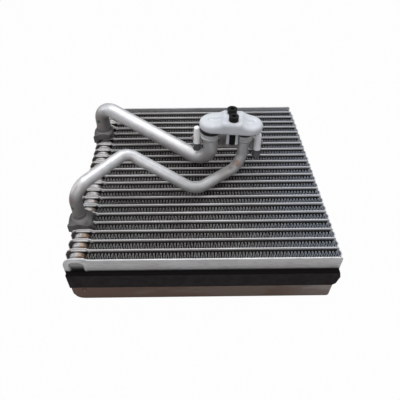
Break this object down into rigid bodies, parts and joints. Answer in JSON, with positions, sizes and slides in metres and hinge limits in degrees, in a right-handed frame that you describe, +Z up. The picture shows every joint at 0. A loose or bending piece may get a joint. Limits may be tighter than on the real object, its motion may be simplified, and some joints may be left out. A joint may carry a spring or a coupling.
{
  "type": "automotive evaporator core",
  "caption": "Stacked-plate automotive air-conditioning evaporator core with corrugated fins, two bent refrigerant pipes, a capped port block and a foam edge seal",
  "frame": {"origin": "middle of the core's underside, on the lower rim of the middle tube", "axes": "+X from the tank end to the turn end, +Y through the stack from the foam-strip side to the pipe side, +Z up from the rest face"},
  "size_m": [0.2515, 0.2574, 0.13],
  "materials": {
    "tube_plates": "brazed, satin",
    "fins": "coated, dull",
    "end_plates": "satin, lightly scratched",
    "foam": "open-cell foam, matte",
    "pipes": "satin drawn tube",
    "collars": "brazed, dull",
    "retaining_plate": "stamped",
    "seals": "moulded",
    "cap": "translucent moulded plastic",
    "screws": "black oxide",
    "studs": "dark plated",
    "protectors": "moulded plastic"
  },
  "bodies": {
    "root": {"tube_01": "tube_plates", "tube_02": "tube_plates", "tube_03": "tube_plates", "tube_04": "tube_plates", "tube_05": "tube_plates", "tube_06": "tube_plates", "tube_07": "tube_plates", "tube_08": "tube_plates", "tube_09": "tube_plates", "tube_10": "tube_plates", "tube_11": "tube_plates", "tube_12": "tube_plates", "tube_13": "tube_plates", "tube_14": "tube_plates", "tube_15": "tube_plates", "tube_16": "tube_plates", "tube_17": "tube_plates", "tube_18": "tube_plates", "tube_19": "tube_plates", "tube_20": "tube_plates", "tube_21": "tube_plates", "fin_01": "fins", "fin_02": "fins", "fin_03": "fins", "fin_04": "fins", "fin_05": "fins", "fin_06": "fins", "fin_07": "fins", "fin_08": "fins", "fin_09": "fins", "fin_10": "fins", "fin_11": "fins", "fin_12": "fins", "fin_13": "fins", "fin_14": "fins", "fin_15": "fins", "fin_16": "fins", "fin_17": "fins", "fin_18": "fins", "fin_19": "fins", "fin_20": "fins", "fin_21": "fins", "fin_22": "fins", "front_end_plate": "end_plates", "rear_end_plate": "end_plates", "foam_strip": "foam", "suction_pipe": "pipes", "liquid_pipe": "pipes", "suction_collar": "collars", "liquid_collar": "collars", "retaining_plate": "retaining_plate", "suction_seal_ring": "seals", "liquid_seal_ring": "seals", "shipping_cap": "cap", "front_cap_screw": "screws", "rear_cap_screw": "screws", "left_stud": "studs", "right_stud": "studs", "left_thread_protector": "protectors", "right_thread_protector": "protectors"}
  },
  "joints": []
}
